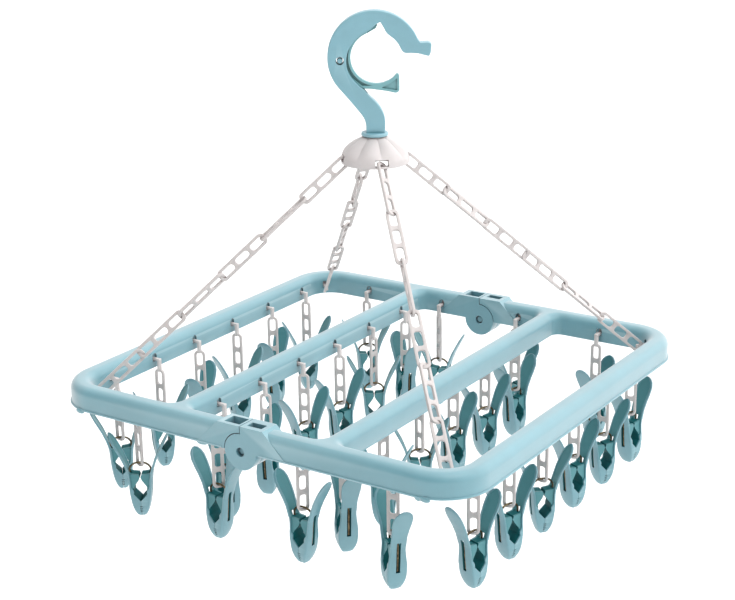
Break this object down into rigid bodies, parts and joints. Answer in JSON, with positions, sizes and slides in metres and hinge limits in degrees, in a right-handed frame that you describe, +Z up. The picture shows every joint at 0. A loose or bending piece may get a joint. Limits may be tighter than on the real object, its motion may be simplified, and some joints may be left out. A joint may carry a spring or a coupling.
{
  "type": "clip drying hanger",
  "caption": "Folding rectangular drying hanger: two hinged frame leaves with rows of hanging clothes pegs, carried by link chains from a swivelling hub under a hook with a clamping lever.",
  "frame": {"origin": "highest point inside the hook, where it rests on the rail", "axes": "+Z up, +X along the frame from the left leaf to the right leaf, +Y from the front rail to the rear rail"},
  "size_m": [0.3566, 0.3528, 0.365],
  "materials": {
    "frame_plastic": "fine satin moulding",
    "hook_plastic": "fine satin moulding",
    "lever_plastic": "fine satin moulding",
    "peg_plastic": "satin, slightly worn edges",
    "link_plastic": "natural translucent white, satin",
    "spring_steel": "yellow-brown plated wire"
  },
  "bodies": {
    "hook": {"hook_body": "hook_plastic", "hook_lever_pin": "lever_plastic", "hub_retainer": "link_plastic"},
    "hook_lever": {"hook_lever": "lever_plastic"},
    "hub": {"hub_bell": "link_plastic"},
    "hinge_pins": {"hinge_pin_front": "frame_plastic", "hinge_pin_rear": "frame_plastic"},
    "leaf_left": {"frame_leaf_left": "frame_plastic"},
    "leaf_right": {"frame_leaf_right": "frame_plastic"},
    "chain_front_left": {"chain_front_left": "link_plastic"},
    "chain_front_right": {"chain_front_right": "link_plastic"},
    "chain_rear_left": {"chain_rear_left": "link_plastic"},
    "chain_rear_right": {"chain_rear_right": "link_plastic"},
    "peg_left_1": {"peg_left_1": "peg_plastic"},
    "peg_left_2": {"peg_left_2": "peg_plastic"},
    "peg_left_3": {"peg_left_3": "peg_plastic"},
    "peg_left_4": {"peg_left_4": "peg_plastic"},
    "peg_left_5": {"peg_left_5": "peg_plastic"},
    "peg_left_6": {"peg_left_6": "peg_plastic"},
    "peg_bar_left_1": {"peg_bar_left_1": "peg_plastic"},
    "peg_bar_left_2": {"peg_bar_left_2": "peg_plastic"},
    "peg_bar_left_3": {"peg_bar_left_3": "peg_plastic"},
    "peg_bar_left_4": {"peg_bar_left_4": "peg_plastic"},
    "peg_bar_left_5": {"peg_bar_left_5": "peg_plastic"},
    "peg_bar_left_6": {"peg_bar_left_6": "peg_plastic"},
    "peg_bar_right_1": {"peg_bar_right_1": "peg_plastic"},
    "peg_bar_right_2": {"peg_bar_right_2": "peg_plastic"},
    "peg_bar_right_3": {"peg_bar_right_3": "peg_plastic"},
    "peg_bar_right_4": {"peg_bar_right_4": "peg_plastic"},
    "peg_bar_right_5": {"peg_bar_right_5": "peg_plastic"},
    "peg_bar_right_6": {"peg_bar_right_6": "peg_plastic"},
    "link_right_1": {"peg_right_1_link": "link_plastic"},
    "clip_right_1": {"peg_right_1_spring": "spring_steel", "peg_right_1_jaw_b": "peg_plastic"},
    "jaw_right_1": {"peg_right_1_jaw_a": "peg_plastic"},
    "peg_right_2": {"peg_right_2": "peg_plastic"},
    "peg_right_3": {"peg_right_3": "peg_plastic"},
    "peg_right_4": {"peg_right_4": "peg_plastic"},
    "peg_right_5": {"peg_right_5": "peg_plastic"},
    "peg_right_6": {"peg_right_6": "peg_plastic"},
    "link_front_1": {"peg_front_1_link": "link_plastic"},
    "clip_front_1": {"peg_front_1_spring": "spring_steel", "peg_front_1_jaw_b": "peg_plastic"},
    "jaw_front_1": {"peg_front_1_jaw_a": "peg_plastic"},
    "link_front_2": {"peg_front_2_link": "link_plastic"},
    "clip_front_2": {"peg_front_2_spring": "spring_steel", "peg_front_2_jaw_b": "peg_plastic"},
    "jaw_front_2": {"peg_front_2_jaw_a": "peg_plastic"},
    "link_front_3": {"peg_front_3_link": "link_plastic"},
    "clip_front_3": {"peg_front_3_spring": "spring_steel", "peg_front_3_jaw_b": "peg_plastic"},
    "jaw_front_3": {"peg_front_3_jaw_a": "peg_plastic"},
    "link_front_4": {"peg_front_4_link": "link_plastic"},
    "clip_front_4": {"peg_front_4_spring": "spring_steel", "peg_front_4_jaw_b": "peg_plastic"},
    "jaw_front_4": {"peg_front_4_jaw_a": "peg_plastic"},
    "peg_rear_1": {"peg_rear_1": "peg_plastic"},
    "peg_rear_2": {"peg_rear_2": "peg_plastic"},
    "peg_rear_3": {"peg_rear_3": "peg_plastic"},
    "peg_rear_4": {"peg_rear_4": "peg_plastic"}
  },
  "joints": [
    {"name": "fold_left", "type": "hinge", "parent": "hinge_pins", "child": "leaf_left", "pos_m": [-0.00392, -0.00259, -0.2742], "axis": [0, -1, 0], "range_deg": [0, 31]},
    {"name": "lever_squeeze", "type": "hinge", "parent": "hook", "child": "hook_lever", "pos_m": [-0.0246, -0.01628, -0.0281], "axis": [0.5519, -0.8339, 0], "range_deg": [0, 20]},
    {"name": "hub_swivel", "type": "hinge", "parent": "hook", "child": "hub", "pos_m": [-0.00392, -0.00259, -0.0829], "axis": [0, 0, 1], "continuous": true},
    {"name": "clip_right_1_squeeze", "type": "hinge", "parent": "clip_right_1", "child": "jaw_right_1", "pos_m": [0.15288, -0.12759, -0.3254], "axis": [0.9588, -0.284, 0], "range_deg": [0, 18], "stiffness_Nm_per_rad": 0.1, "springref_deg": -22.92, "deforming": ["peg_right_1_spring"]},
    {"name": "clip_right_1_swing", "type": "hinge", "parent": "link_right_1", "child": "clip_right_1", "pos_m": [0.15288, -0.12759, -0.3148], "axis": [0.284, 0.9588, 0], "range_deg": [-20, 20]},
    {"name": "clip_front_1_squeeze", "type": "hinge", "parent": "clip_front_1", "child": "jaw_front_1", "pos_m": [-0.11567, -0.15709, -0.3254], "axis": [0.5519, -0.8339, 0], "range_deg": [0, 18], "stiffness_Nm_per_rad": 0.1, "springref_deg": -22.92, "deforming": ["peg_front_1_spring"]},
    {"name": "clip_front_2_squeeze", "type": "hinge", "parent": "clip_front_2", "child": "jaw_front_2", "pos_m": [-0.04117, -0.15709, -0.3254], "axis": [-0.0262, -0.9997, 0], "range_deg": [0, 18], "stiffness_Nm_per_rad": 0.1, "springref_deg": -22.92, "deforming": ["peg_front_2_spring"]},
    {"name": "clip_front_3_squeeze", "type": "hinge", "parent": "clip_front_3", "child": "jaw_front_3", "pos_m": [0.03333, -0.15709, -0.3254], "axis": [-0.0262, -0.9997, 0], "range_deg": [0, 18], "stiffness_Nm_per_rad": 0.1, "springref_deg": -22.92, "deforming": ["peg_front_3_spring"]},
    {"name": "clip_front_4_squeeze", "type": "hinge", "parent": "clip_front_4", "child": "jaw_front_4", "pos_m": [0.10783, -0.15709, -0.3254], "axis": [-0.5948, -0.8039, 0], "range_deg": [0, 18], "stiffness_Nm_per_rad": 0.1, "springref_deg": -22.92, "deforming": ["peg_front_4_spring"]},
    {"name": "clip_front_1_swing", "type": "hinge", "parent": "link_front_1", "child": "clip_front_1", "pos_m": [-0.11567, -0.15709, -0.3148], "axis": [0.8339, 0.5519, 0], "range_deg": [-20, 20]},
    {"name": "clip_front_2_swing", "type": "hinge", "parent": "link_front_2", "child": "clip_front_2", "pos_m": [-0.04117, -0.15709, -0.3148], "axis": [0.9997, -0.0262, 0], "range_deg": [-20, 20]},
    {"name": "clip_front_3_swing", "type": "hinge", "parent": "link_front_3", "child": "clip_front_3", "pos_m": [0.03333, -0.15709, -0.3148], "axis": [0.9997, -0.0262, 0], "range_deg": [-20, 20]},
    {"name": "clip_front_4_swing", "type": "hinge", "parent": "link_front_4", "child": "clip_front_4", "pos_m": [0.10783, -0.15709, -0.3148], "axis": [0.8039, -0.5948, 0], "range_deg": [-20, 20]},
    {"name": "frame_lift", "type": "slide", "parent": "hub", "child": "hinge_pins", "axis": [0, 0, 1], "range_m": [0, 0.06403]},
    {"name": "fold_right", "type": "hinge", "parent": "hinge_pins", "child": "leaf_right", "pos_m": [-0.00392, -0.00259, -0.2742], "axis": [0, 1, 0], "range_deg": [0, 31.5]},
    {"name": "chain_front_left_tilt", "type": "hinge", "parent": "hub", "child": "chain_front_left", "pos_m": [-0.02124, -0.01992, -0.1033], "axis": [0, -1, 0], "range_deg": [0, 6.98], "deforming": ["chain_front_left"]},
    {"name": "chain_front_right_tilt", "type": "hinge", "parent": "hub", "child": "chain_front_right", "pos_m": [0.01341, -0.01992, -0.1033], "axis": [0, 1, 0], "range_deg": [0, 6.98], "deforming": ["chain_front_right"]},
    {"name": "chain_rear_left_tilt", "type": "hinge", "parent": "hub", "child": "chain_rear_left", "pos_m": [-0.02124, 0.01473, -0.1033], "axis": [0, -1, 0], "range_deg": [0, 6.98], "deforming": ["chain_rear_left"]},
    {"name": "chain_rear_right_tilt", "type": "hinge", "parent": "hub", "child": "chain_rear_right", "pos_m": [0.01341, 0.01473, -0.1033], "axis": [0, 1, 0], "range_deg": [0, 6.98], "deforming": ["chain_rear_right"]},
    {"name": "peg_left_1_hang", "type": "hinge", "parent": "leaf_left", "child": "peg_left_1", "pos_m": [-0.16612, -0.12759, -0.267], "axis": [0, -1, 0], "range_deg": [-19.1, 0.5]},
    {"name": "peg_left_2_hang", "type": "hinge", "parent": "leaf_left", "child": "peg_left_2", "pos_m": [-0.16612, -0.07759, -0.267], "axis": [0, -1, 0], "range_deg": [-19.1, 0.5]},
    {"name": "peg_left_3_hang", "type": "hinge", "parent": "leaf_left", "child": "peg_left_3", "pos_m": [-0.16612, -0.02759, -0.267], "axis": [0, -1, 0], "range_deg": [-19.1, 0.5]},
    {"name": "peg_left_4_hang", "type": "hinge", "parent": "leaf_left", "child": "peg_left_4", "pos_m": [-0.16612, 0.02241, -0.267], "axis": [0, -1, 0], "range_deg": [-19.1, 0.5]},
    {"name": "peg_left_5_hang", "type": "hinge", "parent": "leaf_left", "child": "peg_left_5", "pos_m": [-0.16612, 0.07241, -0.267], "axis": [0, -1, 0], "range_deg": [-19.1, 0.5]},
    {"name": "peg_left_6_hang", "type": "hinge", "parent": "leaf_left", "child": "peg_left_6", "pos_m": [-0.16612, 0.12241, -0.267], "axis": [0, -1, 0], "range_deg": [-19.1, 0.5]},
    {"name": "peg_bar_left_1_hang", "type": "hinge", "parent": "leaf_left", "child": "peg_bar_left_1", "pos_m": [-0.06232, -0.12759, -0.267], "axis": [0, -1, 0], "range_deg": [-19.1, 0.5]},
    {"name": "peg_bar_left_2_hang", "type": "hinge", "parent": "leaf_left", "child": "peg_bar_left_2", "pos_m": [-0.06232, -0.07759, -0.267], "axis": [0, -1, 0], "range_deg": [-19.1, 0.5]},
    {"name": "peg_bar_left_3_hang", "type": "hinge", "parent": "leaf_left", "child": "peg_bar_left_3", "pos_m": [-0.06232, -0.02759, -0.267], "axis": [0, -1, 0], "range_deg": [-19.1, 0.5]},
    {"name": "peg_bar_left_4_hang", "type": "hinge", "parent": "leaf_left", "child": "peg_bar_left_4", "pos_m": [-0.06232, 0.02241, -0.267], "axis": [0, -1, 0], "range_deg": [-19.1, 0.5]},
    {"name": "peg_bar_left_5_hang", "type": "hinge", "parent": "leaf_left", "child": "peg_bar_left_5", "pos_m": [-0.06232, 0.07241, -0.267], "axis": [0, -1, 0], "range_deg": [-19.1, 0.5]},
    {"name": "peg_bar_left_6_hang", "type": "hinge", "parent": "leaf_left", "child": "peg_bar_left_6", "pos_m": [-0.06232, 0.12241, -0.267], "axis": [0, -1, 0], "range_deg": [-19.1, 0.5]},
    {"name": "peg_bar_right_1_hang", "type": "hinge", "parent": "leaf_right", "child": "peg_bar_right_1", "pos_m": [0.05448, -0.12759, -0.267], "axis": [0, 1, 0], "range_deg": [-19.1, 0.5]},
    {"name": "peg_bar_right_2_hang", "type": "hinge", "parent": "leaf_right", "child": "peg_bar_right_2", "pos_m": [0.05448, -0.07759, -0.267], "axis": [0, 1, 0], "range_deg": [-19.1, 0.5]},
    {"name": "peg_bar_right_3_hang", "type": "hinge", "parent": "leaf_right", "child": "peg_bar_right_3", "pos_m": [0.05448, -0.02759, -0.267], "axis": [0, 1, 0], "range_deg": [-19.1, 0.5]},
    {"name": "peg_bar_right_4_hang", "type": "hinge", "parent": "leaf_right", "child": "peg_bar_right_4", "pos_m": [0.05448, 0.02241, -0.267], "axis": [0, 1, 0], "range_deg": [-19.1, 0.5]},
    {"name": "peg_bar_right_5_hang", "type": "hinge", "parent": "leaf_right", "child": "peg_bar_right_5", "pos_m": [0.05448, 0.07241, -0.267], "axis": [0, 1, 0], "range_deg": [-19.1, 0.5]},
    {"name": "peg_bar_right_6_hang", "type": "hinge", "parent": "leaf_right", "child": "peg_bar_right_6", "pos_m": [0.05448, 0.12241, -0.267], "axis": [0, 1, 0], "range_deg": [-19.1, 0.5]},
    {"name": "link_right_1_hang", "type": "hinge", "parent": "leaf_right", "child": "link_right_1", "pos_m": [0.15828, -0.12759, -0.267], "axis": [0, 1, 0], "range_deg": [-19.1, 0.5]},
    {"name": "peg_right_2_hang", "type": "hinge", "parent": "leaf_right", "child": "peg_right_2", "pos_m": [0.15828, -0.07759, -0.267], "axis": [0, 1, 0], "range_deg": [-19.1, 0.5]},
    {"name": "peg_right_3_hang", "type": "hinge", "parent": "leaf_right", "child": "peg_right_3", "pos_m": [0.15828, -0.02759, -0.267], "axis": [0, 1, 0], "range_deg": [-19.1, 0.5]},
    {"name": "peg_right_4_hang", "type": "hinge", "parent": "leaf_right", "child": "peg_right_4", "pos_m": [0.15828, 0.02241, -0.267], "axis": [0, 1, 0], "range_deg": [-19.1, 0.5]},
    {"name": "peg_right_5_hang", "type": "hinge", "parent": "leaf_right", "child": "peg_right_5", "pos_m": [0.15828, 0.07241, -0.267], "axis": [0, 1, 0], "range_deg": [-19.1, 0.5]},
    {"name": "peg_right_6_hang", "type": "hinge", "parent": "leaf_right", "child": "peg_right_6", "pos_m": [0.15828, 0.12241, -0.267], "axis": [0, 1, 0], "range_deg": [-19.1, 0.5]},
    {"name": "link_front_1_hang", "type": "hinge", "parent": "leaf_left", "child": "link_front_1", "pos_m": [-0.11567, -0.15709, -0.267], "axis": [0, -1, 0], "range_deg": [-31.5, 0.5]},
    {"name": "link_front_2_hang", "type": "hinge", "parent": "leaf_left", "child": "link_front_2", "pos_m": [-0.04117, -0.15709, -0.267], "axis": [0, -1, 0], "range_deg": [-31.5, 0.5]},
    {"name": "link_front_3_hang", "type": "hinge", "parent": "leaf_right", "child": "link_front_3", "pos_m": [0.03333, -0.15709, -0.267], "axis": [0, 1, 0], "range_deg": [-31.5, 0.5]},
    {"name": "link_front_4_hang", "type": "hinge", "parent": "leaf_right", "child": "link_front_4", "pos_m": [0.10783, -0.15709, -0.267], "axis": [0, 1, 0], "range_deg": [-31.5, 0.5]},
    {"name": "peg_rear_1_hang", "type": "hinge", "parent": "leaf_left", "child": "peg_rear_1", "pos_m": [-0.11567, 0.15191, -0.267], "axis": [0, -1, 0], "range_deg": [-31.5, 0.5]},
    {"name": "peg_rear_2_hang", "type": "hinge", "parent": "leaf_left", "child": "peg_rear_2", "pos_m": [-0.04117, 0.15191, -0.267], "axis": [0, -1, 0], "range_deg": [-31.5, 0.5]},
    {"name": "peg_rear_3_hang", "type": "hinge", "parent": "leaf_right", "child": "peg_rear_3", "pos_m": [0.03333, 0.15191, -0.267], "axis": [0, 1, 0], "range_deg": [-31.5, 0.5]},
    {"name": "peg_rear_4_hang", "type": "hinge", "parent": "leaf_right", "child": "peg_rear_4", "pos_m": [0.10783, 0.15191, -0.267], "axis": [0, 1, 0], "range_deg": [-31.5, 0.5]}
  ],
  "couplings": [
    {"joint": "frame_lift", "follows": "fold_left", "m_per_rad": 0.1176},
    {"joint": "fold_right", "follows": "fold_left", "ratio": 1},
    {"joint": "chain_front_left_tilt", "follows": "fold_left", "ratio": 0.2156},
    {"joint": "chain_front_right_tilt", "follows": "fold_left", "ratio": 0.2156},
    {"joint": "chain_rear_left_tilt", "follows": "fold_left", "ratio": 0.2156},
    {"joint": "chain_rear_right_tilt", "follows": "fold_left", "ratio": 0.2156},
    {"joint": "peg_left_1_hang", "follows": "fold_left", "ratio": -0.6},
    {"joint": "peg_left_2_hang", "follows": "fold_left", "ratio": -0.6},
    {"joint": "peg_left_3_hang", "follows": "fold_left", "ratio": -0.6},
    {"joint": "peg_left_4_hang", "follows": "fold_left", "ratio": -0.6},
    {"joint": "peg_left_5_hang", "follows": "fold_left", "ratio": -0.6},
    {"joint": "peg_left_6_hang", "follows": "fold_left", "ratio": -0.6},
    {"joint": "peg_bar_left_1_hang", "follows": "fold_left", "ratio": -0.6},
    {"joint": "peg_bar_left_2_hang", "follows": "fold_left", "ratio": -0.6},
    {"joint": "peg_bar_left_3_hang", "follows": "fold_left", "ratio": -0.6},
    {"joint": "peg_bar_left_4_hang", "follows": "fold_left", "ratio": -0.6},
    {"joint": "peg_bar_left_5_hang", "follows": "fold_left", "ratio": -0.6},
    {"joint": "peg_bar_left_6_hang", "follows": "fold_left", "ratio": -0.6},
    {"joint": "peg_bar_right_1_hang", "follows": "fold_left", "ratio": -0.6},
    {"joint": "peg_bar_right_2_hang", "follows": "fold_left", "ratio": -0.6},
    {"joint": "peg_bar_right_3_hang", "follows": "fold_left", "ratio": -0.6},
    {"joint": "peg_bar_right_4_hang", "follows": "fold_left", "ratio": -0.6},
    {"joint": "peg_bar_right_5_hang", "follows": "fold_left", "ratio": -0.6},
    {"joint": "peg_bar_right_6_hang", "follows": "fold_left", "ratio": -0.6},
    {"joint": "link_right_1_hang", "follows": "fold_left", "ratio": -0.6},
    {"joint": "peg_right_2_hang", "follows": "fold_left", "ratio": -0.6},
    {"joint": "peg_right_3_hang", "follows": "fold_left", "ratio": -0.6},
    {"joint": "peg_right_4_hang", "follows": "fold_left", "ratio": -0.6},
    {"joint": "peg_right_5_hang", "follows": "fold_left", "ratio": -0.6},
    {"joint": "peg_right_6_hang", "follows": "fold_left", "ratio": -0.6},
    {"joint": "link_front_1_hang", "follows": "fold_left", "ratio": -1},
    {"joint": "link_front_2_hang", "follows": "fold_left", "ratio": -1},
    {"joint": "link_front_3_hang", "follows": "fold_left", "ratio": -1},
    {"joint": "link_front_4_hang", "follows": "fold_left", "ratio": -1},
    {"joint": "peg_rear_1_hang", "follows": "fold_left", "ratio": -1},
    {"joint": "peg_rear_2_hang", "follows": "fold_left", "ratio": -1},
    {"joint": "peg_rear_3_hang", "follows": "fold_left", "ratio": -1},
    {"joint": "peg_rear_4_hang", "follows": "fold_left", "ratio": -1}
  ]
}
